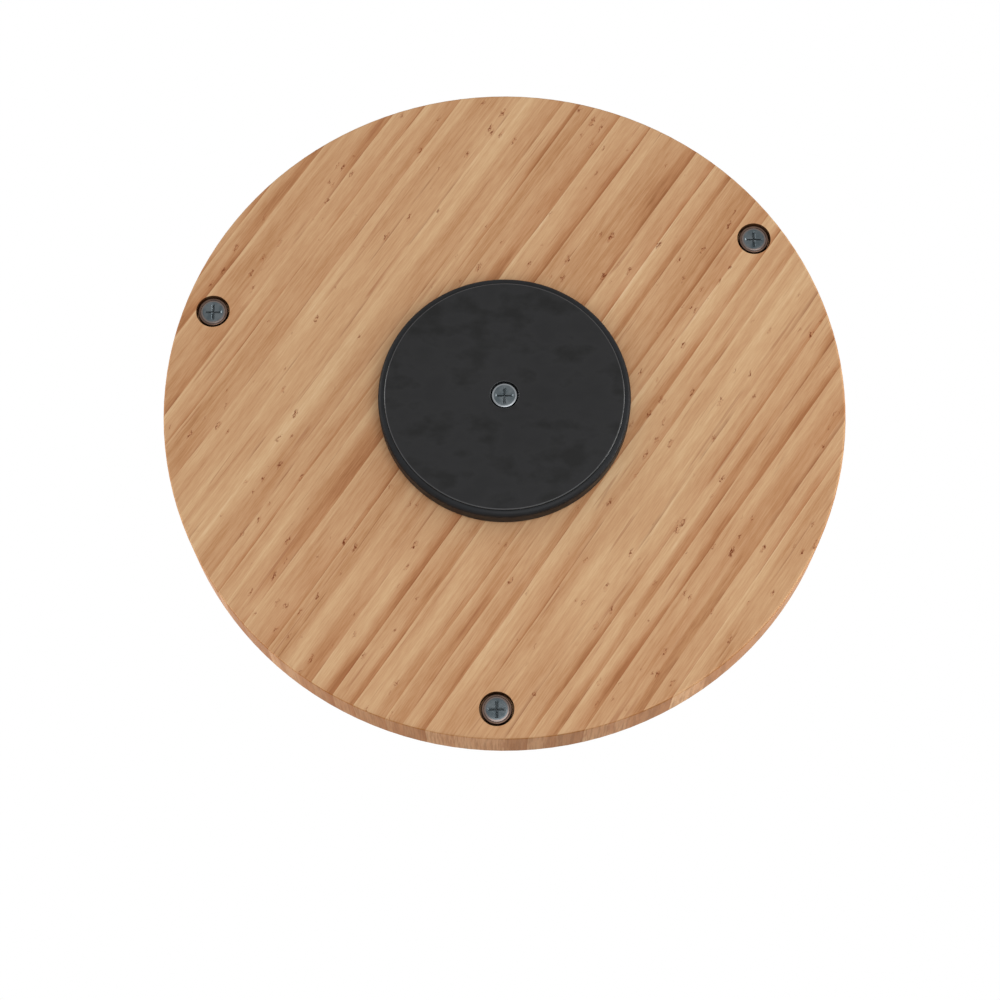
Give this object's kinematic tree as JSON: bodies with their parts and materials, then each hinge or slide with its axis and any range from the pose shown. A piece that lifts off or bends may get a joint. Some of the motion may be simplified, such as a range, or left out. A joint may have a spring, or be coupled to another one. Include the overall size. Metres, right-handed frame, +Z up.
{
  "type": "lazy susan turntable",
  "caption": "Round wooden turntable board on a low black ball-bearing base with a centre pivot screw, and a low open-front gallery rail on posts.",
  "frame": {"origin": "centre of the base pad's lower face, on the axis of rotation, where the turntable stands on the table", "axes": "+Z up along the axis of rotation, -Y towards the open front of the gallery rail"},
  "size_m": [0.254, 0.254, 0.0545],
  "materials": {
    "stave_wood": "oiled",
    "moulded_black": "satin moulded",
    "pad_rubber": "matt",
    "race_steel": "pressed",
    "ball_steel": "polished",
    "nylon": "natural",
    "zinc_steel": "zinc plated",
    "insert_brass": "turned",
    "black_steel": "powder coated"
  },
  "bodies": {
    "base": {"base_shell": "moulded_black", "base_pad": "pad_rubber", "lower_race": "race_steel"},
    "cage": {"ball_cage": "nylon", "bearing_balls": "ball_steel"},
    "board": {"board": "stave_wood", "upper_race": "race_steel", "plate_screws": "zinc_steel", "centre_screw": "zinc_steel", "thrust_washer": "nylon", "pivot_sleeve": "race_steel", "threaded_insert": "insert_brass", "rim_screw_1": "zinc_steel", "rim_screw_2": "zinc_steel", "rim_screw_3": "zinc_steel", "rim_washer_1": "zinc_steel", "rim_washer_2": "zinc_steel", "rim_washer_3": "zinc_steel", "rail_post_1": "black_steel", "rail_post_2": "black_steel", "rail_post_3": "black_steel", "gallery_rail": "black_steel", "set_screws": "zinc_steel"}
  },
  "joints": [
    {"name": "board_spin", "type": "hinge", "parent": "base", "child": "board", "pos_m": [0, 0, 0.0095], "axis": [0, 0, 1], "continuous": true},
    {"name": "cage_spin", "type": "hinge", "parent": "base", "child": "cage", "pos_m": [0, 0, 0.00625], "axis": [0, 0, 1], "continuous": true}
  ],
  "couplings": [
    {"joint": "cage_spin", "follows": "board_spin", "ratio": 0.5}
  ]
}
